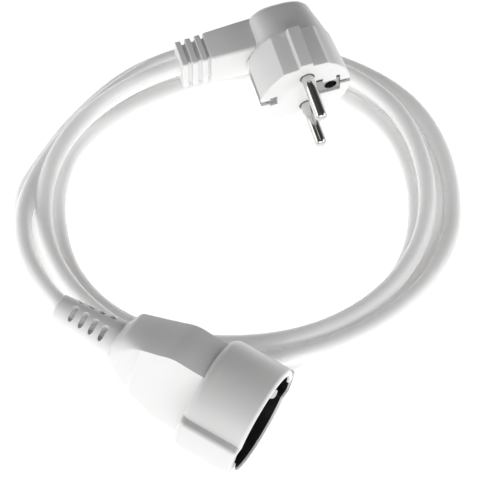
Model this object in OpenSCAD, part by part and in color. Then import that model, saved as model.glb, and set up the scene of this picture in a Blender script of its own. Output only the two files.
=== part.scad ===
// Extension cord: angled earthed plug, coiled three-core cord, in-line coupler socket.
// Millimetres, +Z up. +X runs along the coupler in plan and out of its mouth.
// The resting surface is z = 0.

/* [Coupler] */
// Outer radius of the round collar
collar_r = 22.4; // [21.5:0.1:24]
// Length of the round collar
collar_len = 25; // [23:0.5:28]
// Inner radius of the recess that takes a plug
recess_r = 19.75; // [19.5:0.05:20]
// Depth of the recess
recess_deep = 17.5; // [17:0.1:18]
// Distance from the axis to the outside of an ear
ear_reach = 24.6; // [24.4:0.1:26]
// Half the width of an ear
ear_half = 6.5; // [6:0.1:8]
// Half the thickness of the body behind the collar
body_half_y = 10; // [9.5:0.1:11]
// Half the height of the body behind the collar
body_half_z = 17.6; // [17:0.1:18]
// Nose-down pitch of the coupler as it lies
coupler_pitch = 6.4; // [6:0.1:7]
// Roll of the coupler about its own axis
coupler_roll = 15.5; // [0:0.5:20]

/* [Bend sleeve] */
// Length of the slotted bend sleeve
sleeve_len = 26.5; // [26:0.5:28]
// Sleeve radius where it leaves the body
sleeve_r1 = 7.6; // [7:0.1:8]
// Sleeve radius at the cord end
sleeve_r2 = 5.2; // [4.8:0.1:5.6]
// Distance between rows of slots
slot_pitch = 4.6; // [4.2:0.1:4.8]

/* [Plug] */
// Radius of the plug face
face_r = 18.2; // [17.8:0.1:18.4]
// Length of the round front part
front_len = 18; // [17:0.5:18]
// Depth of the whole head behind the face
head_len = 35; // [34:0.5:37]
// Radius of a contact pin
pin_r = 2.4; // [2.35:0.01:2.45]
// Length of a contact pin in front of the face
pin_len = 19; // [18.5:0.1:19.5]
// Distance from the cable arm's tail to the plug axis
arm_reach = 42.75; // [42:0.25:44]

/* [Cord] */
// Radius of the round cord
cord_r = 3.4; // [3.2:0.05:3.4]
// Width of the bundle of turns
coil_wide = 18.0; // [17:0.2:19]
// Height of the bundle of turns
coil_high = 13.6; // [12:0.2:13.6]

/* [Hidden] */
$fn = 64;
pin_gap = 9.5;
edge = 0.8;
nose = edge * (1 - sin(coupler_pitch)) + (collar_r - edge) * cos(coupler_pitch);
rim = [42.77, 0, nose];
plug_at = [-11.14, 127.45, 32];
plug_yaw = -42.7;
arm_x = -25.7;
notch_half = 4;
notch_y = 22.2;
cup_wall = 1.2;
floor_t = 2;
lip = 2;
body_end = -61.5;
tail_x = body_end - sleeve_len;
bow_x = -recess_deep - floor_t - 2;
coil_mid = [-15.2, 84.6, coil_high / 2];
coil_half = [75.25, 65.3];
coil_turn = 30;

// Body sections: place along the axis, change of half thickness, change of half height
body_secs = [[-22, 0.4, 0], [-37.5, 0, 0], [-58, -1.1, -7.4], [-61, -3, -10]];

// Contact finger outline, distance behind the rim and distance from the axis
finger_outer = [[-21.2, 21.7], [-18, 21.6], [-9.2, 17.75], [-5.4, 16.5], [-4, 16.65], [-3.2, 17.6]];
finger_inner = [[-2.4, 17.2], [-3.4, 15.9], [-5.4, 15.6], [-9.5, 16.9], [-18, 20.7], [-21.2, 20.9]];

// Cores inside the coupler, in the coupler's own frame
c_live = [[-42, 0, 9.5], [-44, 0, 9.5], [-50, 0, 6], [-56, 0.8, 2.2], [-59, 1, 1.6], [-61.4, 1, 1.6]];
c_neut = [[-42, 0, -9.5], [-44, 0, -9.5], [-50, 0, -6], [-56, 0.8, -2.2], [-59, 1, -1.6], [-61.4, 1, -1.6]];
c_earth = [[-38.6, 0, 0], [-46, 0, 0], [-54, -1.2, 0], [-59, -1.8, 0], [-61.4, -1.8, 0]];

// Cores inside the plug, in the plug's own frame
p_live = [[-19, 0, 9.5], [-21, 0, 9.5], [-24.8, -4, 7], [-25.7, -12, 3.2], [-25.7, -21, 1.6],
    [-25.7, -24, 1.6]];
p_neut = [[-19, 0, -9.5], [-21, 0, -9.5], [-24.8, -4, -7], [-25.7, -12, -3.2], [-25.7, -21, -1.6],
    [-25.7, -24, -1.6]];
p_earth = [[-16, -4, 0], [-18, -4, 0], [-22.6, -8, 0], [-23.9, -16, 0], [-23.9, -21, 0], [-23.9, -24, 0]];

function from_rim(u) = [rim[0] - u * cos(coupler_pitch), 0, rim[2] + u * sin(coupler_pitch)];
function from_face(a, b) = plug_at
    + [a * cos(plug_yaw) - b * sin(plug_yaw), a * sin(plug_yaw) + b * cos(plug_yaw), 0];

// Uncoiled stretches, from the gland to the coil, in the part's frame
plug_lead = [from_face(arm_x, -24), from_face(arm_x, -arm_reach), [-68, 103.6, 32], [-77, 93.4, 29.4],
    [-83, 83, 25], [-86.4, 72, 20.4], [-87, 61, 17]];
coupler_lead = [from_rim(61.5), from_rim(-tail_x), [-53, 1.2, 32.4], [-63, 7, 30], [-72, 15.4, 25.6],
    [-79, 25.6, 20.6], [-84, 37, 17]];

// Frames ---------------------------------------------------------------------

module at_coupler() {
    translate(rim) rotate([0, coupler_pitch, 0]) rotate([-coupler_roll, 0, 0]) children();
}

module at_plug() {
    translate(plug_at) rotate([0, 0, plug_yaw]) children();
}

// Cylinder along local x, from x0 back to x1
module rod(x0, x1, r) {
    translate([x1, 0, 0]) rotate([0, 90, 0]) cylinder(h = x0 - x1, r = r);
}

// Sweep ----------------------------------------------------------------------

function unit(v) = v / norm(v);
function heading(p, i) = unit(p[min(i + 1, len(p) - 1)] - p[max(i - 1, 0)]);
function across(t) = abs(t[2]) > 0.9 ? unit(cross(t, [1, 0, 0])) : unit(cross(t, [0, 0, 1]));
function hoop(c, t, r, n) = [for (k = [0 : n - 1])
    c + r * (cos(360 * k / n) * across(t) + sin(360 * k / n) * cross(t, across(t)))];

// One closed tube along points p
module tube(p, r, n = 10) {
    m = len(p);
    pts = [for (i = [0 : m - 1]) each hoop(p[i], heading(p, i), r, n)];
    sides = [for (i = [0 : m - 2]) for (k = [0 : n - 1]) each [
        [i * n + k, i * n + (k + 1) % n, (i + 1) * n + (k + 1) % n],
        [i * n + k, (i + 1) * n + (k + 1) % n, (i + 1) * n + k]]];
    cap0 = [[for (k = [0 : n - 1]) n - 1 - k]];
    cap1 = [[for (k = [0 : n - 1]) (m - 1) * n + k]];
    polyhedron(points = pts, faces = concat(sides, cap0, cap1));
}

// Coupler --------------------------------------------------------------------

module collar_shell() {
    rotate([0, 90, 0]) rotate_extrude() polygon([
        [0, -collar_len], [collar_r - 4, -collar_len], [collar_r - 1.2, -collar_len + 1.2],
        [collar_r, -collar_len + 4], [collar_r, -edge], [collar_r - 0.24, -0.24],
        [collar_r - edge, 0], [0, 0]]);
}

module ear_blocks(reach, half, x0, x1) {
    translate([x1, -reach, -half]) cube([x0 - x1, 2 * reach, 2 * half]);
}

module body_shell() {
    hull() for (s = body_secs) for (k = [-1, 1]) {
        for (j = [-1, 1]) translate([s[0] - 0.5, j * (body_half_y + s[1] - 2), k * (body_half_z + s[2] - 2)])
            rotate([0, 90, 0]) cylinder(h = 1, r = 2, $fn = 32);
        translate([s[0] - 0.5, 0, k * (body_half_z + s[2] - 5)])
            rotate([0, 90, 0]) cylinder(h = 1, r = 6, $fn = 32);
    }
}

module insert_outer() {
    rod(-lip, -recess_deep - floor_t, recess_r + cup_wall);
    ear_blocks(notch_y + 1, notch_half + cup_wall, -lip, -recess_deep - floor_t);
}

module carrier_outer() {
    translate([-38, -6.5, -13.2]) cube([38 - recess_deep - floor_t, 13, 26.4]);
}

module bow_outer() {
    translate([bow_x - 1, -21.9, -3]) cube([1, 43.8, 6]);
    translate([-38.6, -1.2, -3]) cube([38.6 + bow_x, 2.4, 6]);
}

module coupler_overmould() {
    color([0.93, 0.93, 0.92]) at_coupler() difference() {
        union() {
            collar_shell();
            ear_blocks(ear_reach, ear_half, 0, -collar_len + 1);
            body_shell();
        }
        rod(1, -lip - 0.01, recess_r + 0.25);
        ear_blocks(notch_y, notch_half, 1, -lip - 0.01);
        insert_outer();
        for (j = [-1, 1]) translate([bow_x, j * 21.1 - 1.1, -3.4]) cube([3, 2.2, 6.8]);
        carrier_outer();
        bow_outer();
        for (k = [-1, 1]) translate([0, 0, k * pin_gap]) rod(-37, -42, 1.75);
    }
}

module coupler_bend_sleeve() {
    color([0.93, 0.93, 0.92]) at_coupler() difference() {
        rotate([0, 90, 0]) rotate_extrude() polygon([
            [cord_r, tail_x], [sleeve_r2 - 0.6, tail_x], [sleeve_r2, tail_x + 0.6],
            [sleeve_r1, body_end], [cord_r, body_end]]);
        for (row = [0 : 3]) for (q = [45 : 90 : 315])
            translate([-83 + row * slot_pitch, 0, 0]) rotate([q, 0, 0])
                translate([-1, -3.1, 4.3]) cube([2, 6.2, 6]);
    }
}

module coupler_insert() {
    color([0.05, 0.05, 0.05]) at_coupler() difference() {
        insert_outer();
        rod(0, -recess_deep, recess_r);
        ear_blocks(notch_y, notch_half, 0, -recess_deep);
        for (k = [-1, 1]) translate([0, 0, k * pin_gap]) rod(0, -recess_deep - floor_t - 1, 2.9);
        for (j = [-1, 1]) translate([-recess_deep - floor_t - 1, j * 21.3 - 0.9, -3.4])
            cube([floor_t + 2, 1.8, 6.8]);
    }
}

module contact_carrier() {
    color([0.16, 0.16, 0.17]) at_coupler() difference() {
        carrier_outer();
        for (k = [-1, 1]) translate([0, 0, k * pin_gap]) rod(0, -39, 3.3);
        bow_outer();
    }
}

module contact(k) {
    color([0.80, 0.68, 0.40]) at_coupler() translate([0, 0, k * pin_gap]) difference() {
        union() {
            rod(-20, -37, 3.3);
            rod(-36.9, -42, 1.75);
        }
        rod(-19, -35, pin_r + 0.03);
    }
}

module contact_live() {
    contact(1);
}

module contact_neutral() {
    contact(-1);
}

module earth_bow() {
    color([0.80, 0.80, 0.78]) at_coupler() bow_outer();
}

module earth_finger(side) {
    at_coupler() scale_side(side) translate([0, 0, -3]) linear_extrude(height = 6)
        polygon(concat(finger_outer, finger_inner));
}

module scale_side(side) {
    if (side > 0) children();
    if (side < 0) rotate([180, 0, 0]) children();
}

module earth_finger_near() {
    color([0.82, 0.82, 0.80]) earth_finger(-1);
}

module earth_finger_far() {
    color([0.82, 0.82, 0.80]) earth_finger(1);
}

module coupler_core_live() {
    color([0.45, 0.26, 0.15]) at_coupler() tube(c_live, 1.25, 8);
}

module coupler_core_neutral() {
    color([0.15, 0.30, 0.65]) at_coupler() tube(c_neut, 1.25, 8);
}

module coupler_core_earth() {
    color([0.45, 0.62, 0.20]) at_coupler() tube(c_earth, 1.25, 8);
}

// Plug -----------------------------------------------------------------------

module head_shell() {
    rod(0, -front_len, face_r);
    hull() {
        rod(-front_len + 0.5, -front_len, face_r, $fn = 48);
        for (j = [-1, 1]) for (k = [-1, 1]) translate([-head_len + 7, j * 8, k * 7])
            sphere(r = 7, $fn = 32);
    }
}

module arm_shell() {
    hull() for (j = [-1, 1]) for (k = [-1, 1]) {
        translate([arm_x + j * 3.2, -8, k * 5.4]) rotate([90, 0, 0]) cylinder(h = 1, r = 4, $fn = 32);
        translate([arm_x + j * 2.3, -30, k * 4.3]) rotate([90, 0, 0]) cylinder(h = 1, r = 3.5, $fn = 32);
    }
}

module arm_neck(y0, y1, hx, hz) {
    translate([arm_x - hx, y1, -hz]) cube([2 * hx, y0 - y1, 2 * hz]);
}

module strip_path() {
    for (j = [-1, 1]) translate([-16, j * 15.6 - 0.4, -2.5]) cube([15.2, 0.8, 5]);
    for (j = [-1, 1]) translate([-1.6, j * 14.7 - 1.3, -2.5]) cube([0.8, 2.6, 5]);
    translate([-16, -16, -2.5]) cube([1, 32, 5]);
}

module plug_overmould() {
    color([0.93, 0.93, 0.92]) at_plug() difference() {
        union() {
            head_shell();
            arm_shell();
            arm_neck(-30, -arm_reach, 4.4, 6.2);
            for (i = [0 : 2]) arm_neck(-32.6 - i * 3.9, -34.9 - i * 3.9, 5.8, 7.8);
        }
        for (k = [-1, 1]) translate([0, 0, k * pin_gap]) {
            rod(1, -17, pin_r - 0.4);
            rod(1, -0.6, pin_r + 0.3);
        }
        strip_path();
        for (j = [-1, 1]) translate([-15, j * 18 - 2, -2.5]) cube([16, 4, 5]);
        for (j = [-1, 1]) translate([-0.8, j * 15 - 1.6, -2.5]) cube([2, 3.2, 5]);
        translate([-2, 3.6, -4.5]) cube([3, 9.6, 9.5]);
        translate([0, 10, 0]) rod(0, -15, 3.3);
        translate([-10, -4, -13]) cube([6, 8, 26]);
        translate([arm_x, -24, 0]) rotate([90, 0, 0]) cylinder(h = 30, r = cord_r);
        for (k = [-1, 1]) translate([0, 0, k * pin_gap]) rod(-16, -19, 1.75);
    }
}

module pin_carrier() {
    color([0.20, 0.20, 0.21]) at_plug() difference() {
        translate([-10, -4, -13]) cube([6, 8, 26]);
        for (k = [-1, 1]) translate([0, 0, k * pin_gap]) rod(0, -20, pin_r - 0.4);
    }
}

module pin(k) {
    color([0.80, 0.80, 0.79]) at_plug() translate([0, 0, k * pin_gap]) {
        rotate([0, 90, 0]) rotate_extrude() polygon([
            [0, -17], [pin_r - 0.4, -17], [pin_r - 0.4, 0], [pin_r, 0], [pin_r, pin_len - 1.8],
            [pin_r - 0.16, pin_len - 1.05], [pin_r - 0.6, pin_len - 0.45],
            [pin_r - 1.25, pin_len - 0.1], [0, pin_len]]);
        rod(-16.9, -19, 1.75);
    }
}

module pin_live() {
    pin(1);
}

module pin_neutral() {
    pin(-1);
}

module plug_earth_strip() {
    color([0.82, 0.82, 0.80]) at_plug() strip_path();
}

module plug_earth_socket() {
    color([0.82, 0.82, 0.80]) at_plug() difference() {
        union() {
            translate([-2, 3.6, -4.5]) cube([1, 9.6, 9.5]);
            translate([0, 10, 0]) rod(-1.5, -15, 3.3);
        }
        translate([0, 10, 0]) rod(0, -16, pin_r + 0.04);
    }
}

module plug_core_live() {
    color([0.45, 0.26, 0.15]) at_plug() tube(p_live, 1.25, 8);
}

module plug_core_neutral() {
    color([0.15, 0.30, 0.65]) at_plug() tube(p_neut, 1.25, 8);
}

module plug_core_earth() {
    color([0.45, 0.62, 0.20]) at_plug() tube(p_earth, 1.25, 8);
}

// Cord -----------------------------------------------------------------------

function ring_point(a, c) = [
    (coil_half[0] + c[0]) * cos(a) * cos(coil_turn) - (coil_half[1] + c[0]) * sin(a) * sin(coil_turn),
    (coil_half[0] + c[0]) * cos(a) * sin(coil_turn) + (coil_half[1] + c[0]) * sin(a) * cos(coil_turn),
    c[1]];

// Outer shape of the bundle of turns, one closed ring
module cord_coil() {
    n = 12;
    m = 60;
    sec = [for (k = [0 : n - 1]) [
        coil_wide / 2 * sign(cos(30 * k + 15)) * sqrt(abs(cos(30 * k + 15))) / sqrt(cos(15)),
        coil_high / 2 * sign(sin(30 * k + 15)) * sqrt(abs(sin(30 * k + 15))) / sqrt(cos(15))]];
    pts = [for (i = [0 : m - 1]) for (c = sec) coil_mid + ring_point(360 * i / m, c)];
    faces = [for (i = [0 : m - 1]) for (k = [0 : n - 1]) each [
        [i * n + k, i * n + (k + 1) % n, ((i + 1) % m) * n + (k + 1) % n],
        [i * n + k, ((i + 1) % m) * n + (k + 1) % n, ((i + 1) % m) * n + k]]];
    color([0.93, 0.93, 0.92]) polyhedron(points = pts, faces = faces);
}

module cord_plug_lead() {
    color([0.93, 0.93, 0.92]) tube(plug_lead, cord_r, 12);
}

module cord_coupler_lead() {
    color([0.93, 0.93, 0.92]) tube(coupler_lead, cord_r, 12);
}

coupler_overmould();
coupler_bend_sleeve();
coupler_insert();
contact_carrier();
contact_live();
contact_neutral();
earth_bow();
earth_finger_near();
earth_finger_far();
coupler_core_live();
coupler_core_neutral();
coupler_core_earth();
plug_overmould();
pin_carrier();
pin_live();
pin_neutral();
plug_earth_strip();
plug_earth_socket();
plug_core_live();
plug_core_neutral();
plug_core_earth();
cord_coil();
cord_plug_lead();
cord_coupler_lead();
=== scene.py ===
"""Looks of the extension cord: coiled lead with an angled plug and an in-line coupler socket."""

from math import asin, atan2, ceil, cos, hypot, pi, radians, sin, sqrt

import bmesh
import bpy
from mathutils import Matrix, Vector


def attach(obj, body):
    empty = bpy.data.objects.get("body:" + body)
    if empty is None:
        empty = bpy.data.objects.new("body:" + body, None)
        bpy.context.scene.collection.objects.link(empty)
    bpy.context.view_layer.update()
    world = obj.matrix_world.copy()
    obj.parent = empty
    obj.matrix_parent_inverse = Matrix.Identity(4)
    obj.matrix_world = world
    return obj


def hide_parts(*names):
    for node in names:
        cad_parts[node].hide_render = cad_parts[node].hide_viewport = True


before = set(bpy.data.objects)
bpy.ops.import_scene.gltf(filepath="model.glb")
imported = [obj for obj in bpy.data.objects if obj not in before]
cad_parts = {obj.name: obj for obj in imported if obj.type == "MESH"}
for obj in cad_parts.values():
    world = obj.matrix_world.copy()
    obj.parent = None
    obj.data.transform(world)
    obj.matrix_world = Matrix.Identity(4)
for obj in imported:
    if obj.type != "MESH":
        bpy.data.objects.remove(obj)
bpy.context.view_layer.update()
scene = bpy.context.scene
scene.view_settings.view_transform = "Standard"
MM = 0.001

# Places of the two ends, as in the CAD source, millimetres and degrees
RIM = Vector((42.77, 0.0, 22.176))
PITCH, ROLL = 6.4, 15.5
FACE = Vector((-11.14, 127.45, 32.0))
YAW = -42.7
ARM_X = -25.7
PIN_GAP = 9.5

COUPLER = (Matrix.Scale(MM, 4) @ Matrix.Translation(RIM)
           @ Matrix.Rotation(radians(PITCH), 4, "Y") @ Matrix.Rotation(radians(-ROLL), 4, "X"))
PLUG = Matrix.Scale(MM, 4) @ Matrix.Translation(FACE) @ Matrix.Rotation(radians(YAW), 4, "Z")


# Camera ----------------------------------------------------------------------

TARGET = Vector((-0.0098, 0.07435, 0.0))
AZIMUTH, ELEVATION, DISTANCE = radians(30), radians(60), 2.0


def toward(azimuth, elevation):
    return Vector((sin(azimuth) * cos(elevation), -cos(azimuth) * cos(elevation), sin(elevation)))


camera = bpy.data.objects.new("camera", bpy.data.cameras.new("camera"))
scene.collection.objects.link(camera)
camera.data.sensor_width = 36.0
camera.data.lens = 394.5
camera.data.clip_start, camera.data.clip_end = 0.05, 20.0
camera.data.dof.use_dof = False
camera.location = TARGET + toward(AZIMUTH, ELEVATION) * DISTANCE
camera.rotation_mode = "QUATERNION"
camera.rotation_quaternion = (-toward(AZIMUTH, ELEVATION)).to_track_quat("-Z", "Y")
scene.camera = camera


# Materials -------------------------------------------------------------------

def node(tree, kind, **inputs):
    made = tree.nodes.new(kind)
    for key, value in inputs.items():
        made.inputs[key.replace("_", " ")].default_value = value
    return made


def ramp(tree, value, source, target, kind="LINEAR"):
    """Takes a value from the source span to the target span."""
    made = node(tree, "ShaderNodeMapRange", From_Min=source[0], From_Max=source[1],
                To_Min=target[0], To_Max=target[1])
    made.interpolation_type = kind
    tree.links.new(value, made.inputs["Value"])
    return made.outputs["Result"]


def surface(name, color, rough, metallic=0.0, grain=1400.0, relief=0.03, spread=0.05, tint=0.03,
            coat=0.0, ior=1.47, stretch=(1, 1, 1), glow=0.0, depth=0.0015, lift=0.0):
    """Procedural finish: fine grain in the relief, broad change in roughness and shade."""
    mat = bpy.data.materials.new(name)
    mat.use_nodes = True
    tree = mat.node_tree
    shader = tree.nodes["Principled BSDF"]
    shader.inputs["Metallic"].default_value = metallic
    shader.inputs["IOR"].default_value = ior
    shader.inputs["Coat Weight"].default_value = coat
    shader.inputs["Coat Roughness"].default_value = 0.12
    shader.inputs["Emission Color"].default_value = (1, 1, 1, 1)
    # Emission strength here is painted light: the surface glows a little on its own.
    shader.inputs["Emission Strength"].default_value = lift
    if glow:
        shader.inputs["Subsurface Weight"].default_value = glow
        shader.inputs["Subsurface Radius"].default_value = (1.0, 0.95, 0.9)
        shader.inputs["Subsurface Scale"].default_value = depth
    coords = tree.nodes.new("ShaderNodeTexCoord")
    place = tree.nodes.new("ShaderNodeMapping")
    place.inputs["Scale"].default_value = stretch
    tree.links.new(coords.outputs["Object"], place.inputs["Vector"])
    fine = node(tree, "ShaderNodeTexNoise", Scale=grain, Detail=5.0, Roughness=0.6)
    broad = node(tree, "ShaderNodeTexNoise", Scale=45.0, Detail=3.0, Roughness=0.5)
    for noise in (fine, broad):
        tree.links.new(place.outputs["Vector"], noise.inputs["Vector"])
    roughness = ramp(tree, broad.outputs["Fac"], (0.3, 0.7),
                     (max(0.02, rough - spread), min(1.0, rough + spread)))
    tree.links.new(roughness, shader.inputs["Roughness"])
    shade = tree.nodes.new("ShaderNodeMix")
    shade.data_type = "RGBA"
    shade.inputs["A"].default_value = (*[c * (1 - tint) for c in color], 1)
    shade.inputs["B"].default_value = (*color, 1)
    tree.links.new(broad.outputs["Fac"], shade.inputs["Factor"])
    tree.links.new(shade.outputs["Result"], shader.inputs["Base Color"])
    bump = node(tree, "ShaderNodeBump", Strength=relief, Distance=0.0002)
    tree.links.new(fine.outputs["Fac"], bump.inputs["Height"])
    tree.links.new(bump.outputs["Normal"], shader.inputs["Normal"])
    return mat


WHITE = (0.86, 0.86, 0.855)
MATERIALS = {
    "white_coupler": surface("white_coupler", WHITE, 0.34, relief=0.05, coat=0.1, glow=0.15),
    "white_sleeve": surface("white_sleeve", WHITE, 0.38, relief=0.05, glow=0.15),
    "white_plug": surface("white_plug", WHITE, 0.34, relief=0.05, coat=0.1, glow=0.15),
    # The jacket's small emission (lift) is a painted glow that brightens its shaded sides.
    "cord_jacket": surface("cord_jacket", (0.95, 0.95, 0.945), 0.30, grain=700.0, relief=0.06,
                           coat=0.15, glow=0.5, depth=0.004, lift=0.07),
    "black_insert": surface("black_insert", (0.012, 0.012, 0.013), 0.22, relief=0.04, coat=0.3),
    "carrier": surface("carrier", (0.03, 0.03, 0.032), 0.45),
    "contact_brass": surface("contact_brass", (0.72, 0.52, 0.24), 0.28, metallic=1.0, tint=0.12,
                             stretch=(1, 1, 6)),
    "earth_metal": surface("earth_metal", (0.58, 0.58, 0.57), 0.24, metallic=1.0, tint=0.08,
                           stretch=(6, 1, 1)),
    # Earth metal darkened as painted shade, for metal that sits in shade down in its recesses.
    "earth_metal_painted_shade": surface("earth_metal_painted_shade", (0.36, 0.36, 0.36), 0.38, metallic=1.0, tint=0.1),
    "pin_metal": surface("pin_metal", (0.66, 0.655, 0.64), 0.13, metallic=1.0, tint=0.05,
                         grain=2200.0, stretch=(1, 1, 5)),
    "core_live": surface("core_live", (0.16, 0.07, 0.03), 0.4),
    "core_neutral": surface("core_neutral", (0.03, 0.09, 0.42), 0.4),
    "core_earth": surface("core_earth", (0.22, 0.42, 0.03), 0.4),
}


# Mesh helpers ----------------------------------------------------------------

def loft(rings, closed=False):
    """Quads between rings of equal size, capped at both ends unless closed: (points, faces)."""
    n, m = len(rings[0]), len(rings)
    points = [p for ring in rings for p in ring]
    faces = []
    for i in range(m if closed else m - 1):
        j = (i + 1) % m
        for k in range(n):
            faces.append((i * n + k, i * n + (k + 1) % n, j * n + (k + 1) % n, j * n + k))
    if not closed:
        faces.append(tuple(range(n)))
        faces.append(tuple((m - 1) * n + k for k in range(n)))
    return points, faces


def revolve(profile, steps, at=(0.0, 0.0), closed=False):
    """Solid of revolution about a line along local x; the profile is (x, radius)."""
    return loft([[(x, at[0] + r * cos(2 * pi * k / steps), at[1] + r * sin(2 * pi * k / steps))
                  for k in range(steps)] for x, r in profile], closed)


def at_pins(profile, sides=(1, -1)):
    """A solid of revolution on each pin's axis; the order decides how cut faces are split."""
    return [revolve(profile, 40, (0.0, side * PIN_GAP)) for side in sides]


def block(x0, x1, y0, y1, z0, z1):
    return loft([[(x, y0, z0), (x, y1, z0), (x, y1, z1), (x, y0, z1)] for x in (x0, x1)])


def build(name, parts, place):
    """One mesh object from local parts in millimetres, normals outward."""
    bm = bmesh.new()
    for points, faces in parts:
        verts = [bm.verts.new(place @ Vector(p)) for p in points]
        made = [bm.faces.new([verts[i] for i in f]) for f in faces]
        bmesh.ops.recalc_face_normals(bm, faces=made)
    mesh = bpy.data.meshes.new(name)
    bm.to_mesh(mesh)
    bm.free()
    obj = bpy.data.objects.new(name, mesh)
    scene.collection.objects.link(obj)
    return obj


def cut(obj, parts, place, added=()):
    """Joins the added parts to obj, then takes the other parts away."""
    for operation, tools in (("UNION", added), ("DIFFERENCE", parts)):
        for tool in tools:
            change = obj.modifiers.new("cut", "BOOLEAN")
            change.operation, change.solver = operation, "EXACT"
            change.object = build(f"{obj.name}_tool", [tool], place)
    bpy.context.view_layer.update()
    graph = bpy.context.evaluated_depsgraph_get()
    mesh = bpy.data.meshes.new_from_object(obj.evaluated_get(graph))
    used = [m.object for m in obj.modifiers]
    obj.modifiers.clear()
    obj.data = mesh
    for tool in used:
        bpy.data.objects.remove(tool)


def soften(obj, width):
    """Small rounding, in millimetres, along the hard edges."""
    rounding = obj.modifiers.new("edges", "BEVEL")
    rounding.width, rounding.segments = width * MM, 2
    rounding.limit_method, rounding.angle_limit = "ANGLE", radians(40)


def dress(obj, slot, replaces, angle, body="lead", bevel=0.0):
    """Finish, rounding, edges sharp above the angle, slot and the body the piece rides on."""
    obj.data.materials.clear()
    obj.data.materials.append(MATERIALS[slot])
    for face in obj.data.polygons:
        face.use_smooth = True
    if bevel:
        soften(obj, bevel)
    obj.data.set_sharp_from_angle(angle=radians(angle))
    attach(obj, body)
    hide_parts(*replaces)
    return obj


def hermite(keys, x):
    """Smooth values at x through keys (x, value, ...), each column on its own."""
    i = max(k for k in range(len(keys) - 1) if k == 0 or keys[k][0] <= x)
    a, b = keys[i], keys[i + 1]
    before, after = keys[max(i - 1, 0)], keys[min(i + 2, len(keys) - 1)]
    h = b[0] - a[0]
    t = min(max((x - a[0]) / h, 0.0), 1.0)
    out = []
    for c in range(1, len(a)):
        m0 = (b[c] - before[c]) / (b[0] - before[0])
        m1 = (after[c] - a[c]) / (after[0] - a[0])
        out.append((2 * t**3 - 3 * t**2 + 1) * a[c] + (t**3 - 2 * t**2 + t) * h * m0
                   + (3 * t**2 - 2 * t**3) * b[c] + (t**3 - t**2) * h * m1)
    return out


# Cord ------------------------------------------------------------------------

CORD_R = 3.4
# Mean oval of the coil: middle, half lengths and how far it is turned
WIND_AT, WIND_HALF, WIND_TURN = (-14.5, 82.15), (75.2, 65.2), radians(30)
# Steps round the coil, in degrees, and along the finished line, in millimetres
LAY_STEP, POINT_STEP = 6.0, 4.0
# Easing of the stretches down from the ends: passes, points reached, points held at each end
EASE_PASSES, EASE_REACH, COUPLER_HELD, PLUG_HELD = 14, 42, 5, 3

# How the turns lie, from the plug to the coupler: angle round the coil in degrees, distance outside
# the mean oval and height of the centre line, both in millimetres
LAY = [
    (142, -2.4, 16.6), (147, -2.1, 16.2), (152, -1.8, 16.2), (158, -1.4, 16.0), (163, -1.0, 15.6),
    (169, -0.3, 14.8), (175, 0.2, 13.4), (180, 0.4, 11.9), (186, 0.6, 10.8), (192, 0.8, 10.2),
    (200, 1.0, 10.2), (245, 1.5, 10.2), (300, 1.7, 10.2), (318, 3.0, 10.0), (336, 4.8, 8.9),
    (350, 5.7, 6.4), (362, 6.0, 4.0), (375, 7.3, 3.4), (400, 10.8, 3.4), (423, 10.3, 3.4),
    (450, 9.3, 3.4), (470, 8.2, 3.4), (480, 6.9, 3.4), (490, 5.0, 3.4), (500, 3.5, 3.4),
    (508, 3.3, 3.4), (517, 3.6, 3.4), (525, 5.4, 3.4), (532, 7.2, 3.4), (541, 7.8, 3.4),
    (560, 7.9, 3.4), (597, 8.9, 3.4), (620, 8.0, 3.4), (645, 3.3, 3.4), (665, 0.5, 3.4),
    (695, -0.5, 3.4), (720, -0.5, 3.4), (740, 1.4, 3.4), (762, 4.0, 3.4), (783, 3.8, 3.4),
    (810, 2.5, 3.4), (830, 1.2, 3.4), (840, 0.1, 3.4), (850, -1.8, 3.4), (860, -3.3, 3.4),
    (868, -3.4, 3.4), (877, -3.1, 3.4), (885, -1.4, 3.4), (892, 0.4, 3.4), (901, 0.9, 3.4),
    (920, 0.6, 3.4), (945, -1.0, 3.4), (970, -4.0, 3.4), (1000, -6.2, 3.4), (1040, -7.0, 3.4),
    (1080, -7.8, 3.4), (1100, -6.0, 3.4), (1120, -3.2, 3.4), (1143, -3.0, 3.4), (1170, -4.3, 3.4),
    (1188, -5.3, 3.4), (1201, -6.2, 4.5), (1212, -6.8, 6.6), (1223, -6.7, 8.8), (1231, -6.0, 9.3),
    (1240, -5.6, 9.5), (1247, -5.7, 8.5), (1254, -5.6, 5.8), (1262, -6.0, 3.8), (1270, -6.1, 3.4),
    (1291, -5.4, 3.4), (1308, -5.4, 4.0), (1330, -5.5, 7.2), (1350, -5.6, 9.8), (1370, -5.6, 10.2),
    (1410, -5.2, 10.0), (1440, -4.0, 9.6), (1460, -1.6, 9.8), (1480, 2.2, 10.2), (1503, 4.0, 10.2),
    (1530, 5.0, 10.2), (1545, 4.6, 10.2), (1555, 3.8, 10.0), (1568, 2.2, 9.7), (1582, 0.6, 9.4),
    (1592, 0.7, 9.4), (1600, 1.8, 9.8), (1606, 3.4, 10.2), (1612, 5.2, 10.3), (1621, 6.8, 10.8),
]

# Uncoiled stretches: places along the plug's arm, points down from the plug, points up to the
# coupler, and distances behind the coupler's rim
PLUG_END = [-30.0, -42.75, -47.0]
PLUG_LEAD = [(-66.2, 105.9, 31.0), (-70.2, 102.2, 28.0), (-74.4, 98.9, 23.6), (-78.9, 94.9, 19.5)]
COUPLER_LEAD = [(-80.2, 31.0, 16.2), (-73.6, 21.6, 22.8), (-65.8, 12.8, 28.6), (-57.4, 5.6, 31.8),
                (-50.4, 1.2, 32.6)]
COUPLER_END = [88.0, 80.0, 66.0]


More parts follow.
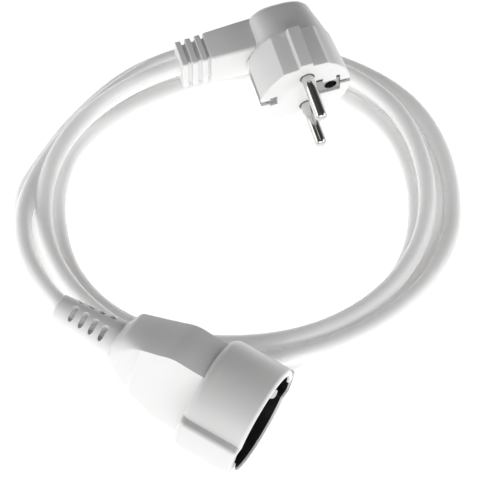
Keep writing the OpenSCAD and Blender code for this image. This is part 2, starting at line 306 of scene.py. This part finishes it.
def lay_point(angle, offset, height):
    """Point of the coil at an angle, an offset outside the mean oval and a height."""
    t = radians(angle)
    ex, ey = WIND_HALF[0] * cos(t), WIND_HALF[1] * sin(t)
    nx, ny = ex / WIND_HALF[0] ** 2, ey / WIND_HALF[1] ** 2
    size = hypot(nx, ny)
    x, y = ex + offset * nx / size, ey + offset * ny / size
    return Vector((WIND_AT[0] + x * cos(WIND_TURN) - y * sin(WIND_TURN),
                   WIND_AT[1] + x * sin(WIND_TURN) + y * cos(WIND_TURN), height)) * MM


def resample(points, step):
    """Even points along a smooth line through the given ones."""
    keys, run = [], 0.0
    for i, p in enumerate(points):
        run += (p - points[i - 1]).length if i else 0.0
        keys.append((run, *p))
    count = ceil(run / step)
    return [Vector(hermite(keys, run * k / count)) for k in range(count + 1)]


def cord_line():
    """Centre line from the coupler to the plug, with both ends eased."""
    line = [PLUG @ Vector((ARM_X, y, 0.0)) for y in PLUG_END]
    line += [Vector(p) * MM for p in PLUG_LEAD]
    angle = LAY[0][0]
    while angle <= LAY[-1][0]:
        line.append(lay_point(angle, *hermite(LAY, angle)))
        angle += LAY_STEP
    line += [Vector(p) * MM for p in COUPLER_LEAD]
    line += [COUPLER @ Vector((-u, 0.0, 0.0)) for u in COUPLER_END]
    line = resample(line[::-1], POINT_STEP * MM)
    count = len(line)
    eased = [*range(COUPLER_HELD, EASE_REACH), *range(count - EASE_REACH, count - PLUG_HELD)]
    for _ in range(EASE_PASSES):
        for i in eased:
            line[i] = line[i] / 2 + (line[i - 1] + line[i + 1]) / 4
    return line


path = cord_line()
curve = bpy.data.curves.new("cord", "CURVE")
curve.dimensions = "3D"
curve.bevel_depth = CORD_R * MM
curve.bevel_resolution = 7
curve.use_fill_caps = True
spline = curve.splines.new("POLY")
spline.points.add(len(path) - 1)
for point, place in zip(spline.points, path):
    point.co = (*place, 1.0)
spline.use_smooth = True
cord = bpy.data.objects.new("cord", curve)
scene.collection.objects.link(cord)
curve.materials.append(MATERIALS["cord_jacket"])
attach(cord, "lead")
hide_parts("cord_coil", "cord_plug_lead", "cord_coupler_lead")


# Coupler ---------------------------------------------------------------------

COLLAR_R, COLLAR_LEN = 22.4, 25.0
EAR_REACH, EAR_HALF = 24.8, 6.5
RECESS_R, RECESS_DEEP = 19.75, 17.5
NOTCH_REACH, NOTCH_HALF = 23.7, 4.5
RIM_ROUND, REAR_ROUND = 1.5, 4.0
# Depths from the rim: start of the black lining, floor of the hollow, back end of the wells
LINING_AT, HOLLOW_DEEP, WELL_DEEP = 3.0, 18.6, 34.0


def eared(x, r, reach, half, corner, arc=44):
    """Ring at x: a circle of radius r with a block on each side; reach and half give the block."""
    side = [(sqrt(r * r - half * half), -half)]
    for k in range(6):
        t = -pi / 2 + (pi / 2) * k / 5
        side.append((reach - corner + corner * cos(t), -half + corner + corner * sin(t)))
    for k in range(6):
        t = (pi / 2) * k / 5
        side.append((reach - corner + corner * cos(t), half - corner + corner * sin(t)))
    side.append((sqrt(r * r - half * half), half))
    a = asin(half / r)
    for k in range(1, arc):
        t = a + (pi - 2 * a) * k / arc
        side.append((r * cos(t), r * sin(t)))
    return [(x, y, z) for y, z in side] + [(x, -y, -z) for y, z in side]


def collar_parts():
    """Outside from the rear to the rim, then the inside down to the floor of the hollow."""
    rings = []
    for k in range(9):
        t = (pi / 2) * k / 8
        d = REAR_ROUND * (1 - sin(t))
        rings.append(eared(-COLLAR_LEN + REAR_ROUND * (1 - cos(t)), COLLAR_R - d, EAR_REACH - d,
                           EAR_HALF - 0.55 * d, 1.5))
    for k in range(5):
        t = (pi / 2) * k / 4
        d = RIM_ROUND * (1 - cos(t))
        rings.append(eared(-RIM_ROUND * (1 - sin(t)), COLLAR_R - d, EAR_REACH - d, EAR_HALF - d,
                           max(1.5 - d, 0.6)))
    for k in range(4):
        t = (pi / 2) * k / 3
        d = 0.4 * (1 - sin(t))
        rings.append(eared(-0.4 * (1 - cos(t)), RECESS_R + d, NOTCH_REACH + d, NOTCH_HALF + d,
                           0.8 + d))
    rings.append(eared(-LINING_AT, RECESS_R, NOTCH_REACH, NOTCH_HALF, 0.8))
    for x in (-LINING_AT - 0.1, -HOLLOW_DEEP):
        rings.append(eared(x, RECESS_R + 0.5, NOTCH_REACH + 0.3, NOTCH_HALF + 0.5, 1.0))
    return loft(rings)


# Body behind the collar: place, half thickness, height of the far edge, of the near flat side and
# of the middle, rise of the whole section, and how round the far and the near corners are
BODY = [
    (20.0, 10.0, 17.3, 17.3, 18.9, 0.4, 0.0, 0.0), (30.0, 10.0, 17.3, 17.3, 18.9, 0.6, 0.0, 0.0),
    (37.8, 9.95, 17.2, 17.2, 18.5, 0.8, 0.0, 0.0), (44.4, 9.7, 14.8, 14.6, 16.1, 0.75, 0.0, 0.0),
    (49.0, 9.5, 13.0, 12.8, 14.4, 0.7, 0.0, 0.15), (52.0, 9.35, 11.9, 10.9, 13.4, 0.7, 0.0, 0.5),
    (55.0, 9.2, 10.8, 7.6, 12.3, 0.65, 0.0, 0.85), (57.0, 9.1, 10.1, 4.2, 11.4, 0.6, 0.0, 1.0),
    (58.7, 8.95, 9.5, 1.8, 10.7, 0.5, 0.1, 1.0), (59.6, 8.6, 8.4, 1.0, 10.0, 0.4, 0.4, 1.0),
    (60.6, 8.1, 5.0, 0.6, 9.0, 0.2, 0.9, 1.0), (61.4, 7.8, 1.0, 0.4, 8.2, 0.1, 1.0, 1.0),
    (62.2, 7.2, 0.3, 0.3, 7.5, 0.0, 1.0, 1.0),
]


def edge_line(g, flat, middle, round_, power, n=12):
    """Quarter of a section from the flat side (g, flat) to the middle (0, middle)."""
    rise, line = middle - flat, []
    bend = (g * g + rise * rise) / (2 * rise)
    for k in range(n + 1):
        t = (pi / 2) * k / n
        y = g * cos(t)
        arc = sqrt(bend * bend - y * y) - (bend - rise) if bend > g else rise * sin(t)
        soft = (g * cos(t) ** (2 / power), rise * sin(t) ** (2 / power))
        line.append(((1 - round_) * y + round_ * soft[0],
                     flat + (1 - round_) * arc + round_ * soft[1]))
    return line


def body_ring(u, g, far_edge, near_edge, middle, lift, far_round, near_round):
    """Section of the body at a distance u behind the rim."""
    far = edge_line(g, far_edge, middle, far_round, 2.2)
    near = edge_line(g, near_edge, middle, near_round, 2.7)
    top = far + [(-y, z) for y, z in near[-2::-1]]
    return ([(-u, y, z + lift) for y, z in top] + [(-u, y, -z + lift) for y, z in top[::-1]])


def body_parts():
    rings, u = [], BODY[0][0]
    while u < BODY[-1][0] - 0.01:
        rings.append(body_ring(u, *hermite(BODY, u)))
        u += 0.6
    rings.append(body_ring(*BODY[-1]))
    return loft(rings)


bores = at_pins([(-WELL_DEEP, 3.7), (-17.0, 3.7)], sides=(-1, 1))
collar = build("coupler_collar", [collar_parts()], COUPLER)
cut(collar, bores, COUPLER)
dress(collar, "white_coupler", replaces=["coupler_overmould"], angle=34)
body = build("coupler_body", [body_parts()], COUPLER)
cut(body, bores, COUPLER)
dress(body, "white_coupler", replaces=["coupler_overmould"], angle=30)

# Slotted bend sleeve: (place, radius) round its section, then the slots' first place and spacing
SLEEVE = [(-61.6, 7.6), (-62.0, 7.9), (-87.4, 5.25), (-87.8, 5.0), (-88.0, 4.6), (-88.0, 3.45),
          (-61.0, 3.45)]
SLOT_FIRST, SLOT_PITCH, SLOT_HALF = 67.35, 4.47, 1.0


def slot_cutter(row, side, up):
    """Slot with a round inner end, pulled straight up or down out of the sleeve."""
    u = SLOT_FIRST + SLOT_PITCH * row
    inner = 2.05 - 0.67 * row if side * up < 0 else 1.8
    outer = 6.9 - 0.45 * row
    flat, end = [], SLOT_HALF + 0.3
    for k in range(9):
        t = radians(-135 + 270 * k / 8)
        flat.append((end * sin(t), inner + end - end * cos(t)))
    for k in range(9):
        t = pi / 2 - pi * k / 8
        flat.append((SLOT_HALF * sin(t), outer - SLOT_HALF + SLOT_HALF * cos(t)))
    return loft([[(-u + x, side * y, up * z) for x, y in flat] for z in (1.3, 12.0)])


sleeve = build("coupler_sleeve", [revolve(SLEEVE, 72, closed=True)], COUPLER)
cut(sleeve, [slot_cutter(row, side, up) for row in range(4) for side in (-1, 1)
             for up in (-1, 1)], COUPLER)
dress(sleeve, "white_sleeve", replaces=["coupler_bend_sleeve"], bevel=0.18, angle=75)

# Black insert: a cup with a well behind each pin hole
insert = build("coupler_insert_cup", [loft([
    eared(-1.0, RECESS_R + 0.9, NOTCH_REACH + 0.6, NOTCH_HALF + 0.9, 1.2),
    eared(-RECESS_DEEP - 2.0, RECESS_R + 0.9, NOTCH_REACH + 0.6, NOTCH_HALF + 0.9, 1.2)])], COUPLER)
wells = at_pins([(-WELL_DEEP, 4.1), (-HOLLOW_DEEP, 4.1)], sides=(-1, 1))
PIN_HOLE = [(-33.0, 2.9), (-18.3, 2.9), (-17.4, 3.6), (-17.0, 3.6)]
cut(insert, [
    loft([eared(1.0, RECESS_R - 0.05, NOTCH_REACH - 0.05, NOTCH_HALF - 0.05, 0.8),
          eared(-RECESS_DEEP, RECESS_R - 0.25, NOTCH_REACH - 0.25, NOTCH_HALF - 0.15, 0.8)]),
    *at_pins(PIN_HOLE),
    # Gap at each side of the floor for an earth finger
    block(-25.0, -16.0, 20.2, 22.4, -3.4, 3.4), block(-25.0, -16.0, -22.4, -20.2, -3.4, 3.4),
], COUPLER, wells)
dress(insert, "black_insert", replaces=["coupler_insert"], bevel=0.2, angle=75)

# Sprung earth fingers: distance from the rim and from the axis along the strip
FINGER = [(-21.1, 21.3), (-18.0, 21.15), (-13.0, 19.0), (-9.2, 16.6), (-6.4, 14.95), (-4.8, 14.5),
          (-3.7, 14.65), (-2.9, 15.2), (-2.5, 16.0)]


def finger_parts(side, half=2.7, thick=0.62):
    """Strip along the finger's line, narrowing over its last rings."""
    keys, run = [], 0.0
    for i, p in enumerate(FINGER):
        run += hypot(p[0] - FINGER[i - 1][0], p[1] - FINGER[i - 1][1]) if i else 0.0
        keys.append((run, *p))
    count, rings = 60, []
    for k in range(count + 1):
        s = run * k / count
        x, y = hermite(keys, s)
        ax, ay = hermite(keys, max(s - 0.05, 0.0))
        bx, by = hermite(keys, min(s + 0.05, run))
        turn = atan2(by - ay, bx - ax)
        nx, ny = -sin(turn) * thick / 2, cos(turn) * thick / 2
        w = half * (1.0 if k < count - 3 else (0.95, 0.87, 0.74, 0.5)[k - count + 3])
        rings.append([(x + nx, side * (y + ny), -w), (x + nx, side * (y + ny), w),
                      (x - nx, side * (y - ny), w), (x - nx, side * (y - ny), -w)])
    return loft(rings)


for name, side in (("near", -1), ("far", 1)):
    finger = build(f"finger_{name}_strip", [finger_parts(side)], COUPLER)
    dress(finger, "earth_metal", body=f"finger_{name}", replaces=[f"earth_finger_{name}"], bevel=0.12,
          angle=75)


# Plug ------------------------------------------------------------------------

FACE_R, FRONT_LEN = 18.2, 18.0


def head_outline():
    """Front of the plug seen from the pins: the upper half, then its mirror image."""
    upper = []
    for k in range(9):
        t = k / 8
        bow = 1.15 * sin(pi * t)
        b, c = -FACE_R + (FACE_R - 9.15) * t, 2.5 + (15.73 - 2.5) * t
        upper.append((b - 0.823 * bow, c + 0.566 * bow))
    upper += [(-8.2, 16.05), (-3.15, 16.6), (-2.3, 18.65), (2.3, 18.8), (2.35, 16.9), (8.3, 16.7)]
    for k in range(12):
        t = radians(60 - (60 - 3) * k / 11)
        upper.append(((FACE_R - 0.7 * sin(pi / 2 * k / 11)) * cos(t), FACE_R * sin(t)))
    lower = [(b, -c) for b, c in upper[::-1]]
    return upper + lower


def head_parts():
    """Round front from the crown to the face, each ring (place, inset)."""
    rings = []
    for x, d in ((-FRONT_LEN - 0.2, 0.6), (-FRONT_LEN + 0.3, 0.0), (-0.6, 0.0), (-0.25, 0.1),
                 (-0.06, 0.32), (0.0, 0.6)):
        f = 1 - d / FACE_R
        draft = 1 - 0.1 * min(-x / FRONT_LEN, 1.0)
        rings.append([(x, b * f * (draft if b > 3 else 1.0), c * f) for b, c in head_outline()])
    return loft(rings)


# Crown behind the round front: place, left side, right side, half height, squareness
CROWN = [
    (16.0, -17.3, 15.6, 17.0, 2.0), (18.0, -17.2, 15.6, 17.1, 2.05), (20.0, -16.0, 14.8, 16.4, 2.25),
    (23.0, -15.2, 13.7, 15.6, 2.6), (27.0, -15.0, 12.5, 15.0, 2.8), (29.8, -14.9, 11.6, 14.6, 2.9),
]


def crown_ring(x, left, right, high, power, steps=72):
    """Squared oval between the left and right sides."""
    mid, wide = (left + right) / 2, (right - left) / 2
    ring = []
    for k in range(steps):
        c, s = cos(2 * pi * k / steps), sin(2 * pi * k / steps)
        ring.append((-x, mid + wide * abs(c) ** (2 / power) * (1 if c > 0 else -1),
                     high * abs(s) ** (2 / power) * (1 if s > 0 else -1)))
    return ring


def crown_parts(corner=3.8):
    rings, x = [], CROWN[0][0]
    while x < CROWN[-1][0]:
        rings.append(crown_ring(x, *hermite(CROWN, x)))
        x += 0.5
    last = CROWN[-1]
    for k in range(0, 10):
        t = (pi / 2) * k / 10
        d = corner * (1 - cos(t))
        rings.append(crown_ring(last[0] + corner * sin(t), last[1] + d, last[2] - d, last[3] - d,
                                last[4]))
    return loft(rings)


def box_ring(y, half_a, half_c, corner, n=5):
    """Rounded rectangle round the arm's axis."""
    ring = []
    for q, (sa, sc) in enumerate(((1, 1), (-1, 1), (-1, -1), (1, -1))):
        for k in range(n + 1):
            t = pi / 2 * (q + k / n)
            ring.append((ARM_X + sa * (half_a - corner) + corner * cos(t), y,
                         sc * (half_c - corner) + corner * sin(t)))
    return ring


def arm_parts():
    """Tapered arm from (place, half width, half height, corner), then three ribs."""
    rings = []
    for y, half_a, half_c, corner in ((-6.0, 7.3, 9.5, 1.6), (-20.0, 6.8, 9.1, 1.4),
                                      (-31.4, 6.3, 8.6, 1.2), (-31.8, 6.1, 8.4, 1.1)):
        rings.append(box_ring(y, half_a, half_c, corner))
    for i in range(3):
        start = -33.0 - 3.85 * i
        grow = 0.18 * i
        for y, d in ((start + 0.9, 1.2), (start + 0.15, 1.2), (start, 1.05), (start - 0.02, 0.25),
                     (start - 0.22, 0.0), (start - 2.05, 0.0), (start - 2.28, 0.22),
                     (start - 2.3, 1.05)):
            rings.append(box_ring(y, 6.1 - grow - d, 8.3 - grow - d, 0.9))
    return loft(rings)


EARTH_AT = (9.6, -0.7)
head = build("plug_head", [head_parts()], PLUG)
cut(head, [
    # Window in front of the earth plate, and its two corners
    block(-3.0, 3.0, 3.6, 13.2, -4.4, 3.3), block(-4.0, 3.0, 3.6, 6.4, 3.0, 5.9),
    block(-4.0, 3.0, 11.6, 13.2, 3.0, 5.9),
    # Groove in each side for the earth strip
    block(-15.0, -1.2, -21.0, -16.0, -2.5, 2.5), block(-15.0, -1.2, 16.0, 21.0, -2.5, 2.5),
    # Slots from the grooves across the face: a T on the arm's side, a plain one to the window
    block(-2.4, 3.0, -21.0, -14.4, -2.2, 0.4), block(-4.0, 3.0, -14.6, -11.7, -3.4, 1.8),
    block(-2.4, 3.0, 13.0, 21.0, -0.6, 1.8),
    # Bore for the earth tube, and a shallow ring round each pin
    revolve([(-14.0, 2.9), (0.5, 2.9)], 40, EARTH_AT),
    *at_pins([(-1.5, 3.0), (1.0, 3.0)]),
], PLUG)
dress(head, "white_plug", replaces=["plug_overmould"], bevel=0.14, angle=19)
crown = build("plug_crown", [crown_parts()], PLUG)
dress(crown, "white_plug", replaces=["plug_overmould"], angle=45)
arm = build("plug_arm", [arm_parts()], PLUG)
dress(arm, "white_plug", replaces=["plug_overmould"], angle=38)

plate = build("plug_earth_plate", [block(-1.6, -0.6, 3.7, 13.1, -3.6, 3.35)], PLUG)
cut(plate, [revolve([(-2.5, 2.45), (1.0, 2.45)], 48, EARTH_AT)], PLUG)
dress(plate, "earth_metal", replaces=["plug_earth_socket"], bevel=0.12, angle=60)
# The plate is given the darkened earth metal: painted shade.
plate.data.materials[0] = MATERIALS["earth_metal_painted_shade"]
pipe = [(-0.75, 2.42), (-0.75, 3.1), (-14.5, 3.1), (-14.5, 2.42)]
tube = build("plug_earth_tube", [revolve(pipe, 48, EARTH_AT, closed=True)], PLUG)
dress(tube, "earth_metal", replaces=["plug_earth_socket"], angle=40)

PIN = [(-17.0, 2.0), (-1.7, 2.0), (-1.6, 2.4),
       (17.2, 2.4), (17.7, 2.33), (18.2, 2.12), (18.6, 1.8), (18.85, 1.4), (18.97, 0.8), (19.0, 0.1)]
for name, side in (("live", 1), ("neutral", -1)):
    pin = build(f"pin_{name}_turned", [revolve(PIN, 72, (0.0, side * PIN_GAP))], PLUG)
    dress(pin, "pin_metal", replaces=[f"pin_{name}"], angle=30)


# CAD nodes shown as they are; the plug's earth metal, darkened as painted shade for its recesses,
# shares the earth_metal slot ------

CARRIED = {
    "contact_carrier": "carrier", "contact_live": "contact_brass", "contact_neutral": "contact_brass",
    "earth_bow": "earth_metal", "pin_carrier": "carrier", "plug_earth_strip": "earth_metal_painted_shade",
    "coupler_core_live": "core_live", "coupler_core_neutral": "core_neutral",
    "coupler_core_earth": "core_earth",
    "plug_core_live": "core_live", "plug_core_neutral": "core_neutral",
    "plug_core_earth": "core_earth",
}
for name, slot in CARRIED.items():
    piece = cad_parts[name]
    piece.data.materials.clear()
    piece.data.materials.append(MATERIALS[slot])
    if "core" not in name:
        soften(piece, 0.12)


# Floor and light -------------------------------------------------------------

bpy.ops.mesh.primitive_plane_add(size=6.0, location=(0, 0, 0))
floor = bpy.context.object
floor.name = "floor"
paper = bpy.data.materials.new("paper")
paper.use_nodes = True
shader = paper.node_tree.nodes["Principled BSDF"]
shader.inputs["Base Color"].default_value = (0.9, 0.9, 0.9, 1)
shader.inputs["Roughness"].default_value = 0.9
shader.inputs["Emission Color"].default_value = (1, 1, 1, 1)
shader.inputs["Emission Strength"].default_value = 0.8
floor.data.materials.append(paper)

# Bright near the horizon, dark overhead, dimmer behind the object
world = bpy.data.worlds.new("studio")
scene.world = world
world.use_nodes = True
tree = world.node_tree
sky = tree.nodes["Background"]
sky.inputs["Color"].default_value = (1, 1, 1, 1)
direction = tree.nodes.new("ShaderNodeTexCoord")
split = tree.nodes.new("ShaderNodeSeparateXYZ")
tree.links.new(direction.outputs["Generated"], split.inputs["Vector"])
fade = ramp(tree, split.outputs["Z"], (0.0, 0.6), (1.35, 0.12), "SMOOTHSTEP")
facing = tree.nodes.new("ShaderNodeVectorMath")
facing.operation = "DOT_PRODUCT"
facing.inputs[1].default_value = toward(0.0, 0.0)
tree.links.new(direction.outputs["Generated"], facing.inputs[0])
front = ramp(tree, facing.outputs["Value"], (-0.5, 0.5), (0.4, 1.0))
level = tree.nodes.new("ShaderNodeMath")
level.operation = "MULTIPLY"
tree.links.new(fade, level.inputs[0])
tree.links.new(front, level.inputs[1])
tree.links.new(level.outputs["Value"], sky.inputs["Strength"])


def panel(name, azimuth, elevation, distance, size, power):
    """Area light that faces the target."""
    light = bpy.data.objects.new(name, bpy.data.lights.new(name, "AREA"))
    light.data.shape = "RECTANGLE"
    light.data.size, light.data.size_y = size
    light.data.energy = power
    at = toward(radians(azimuth), radians(elevation))
    light.location = TARGET + at * distance
    light.rotation_mode = "QUATERNION"
    light.rotation_quaternion = (-at).to_track_quat("-Z", "Y")
    scene.collection.objects.link(light)


panel("key", azimuth=35, elevation=28, distance=1.3, size=(1.2, 0.6), power=5.5)
panel("left", azimuth=-60, elevation=27, distance=0.3, size=(0.3, 0.13), power=0.17)
panel("right", azimuth=115, elevation=27, distance=0.3, size=(0.3, 0.13), power=0.17)
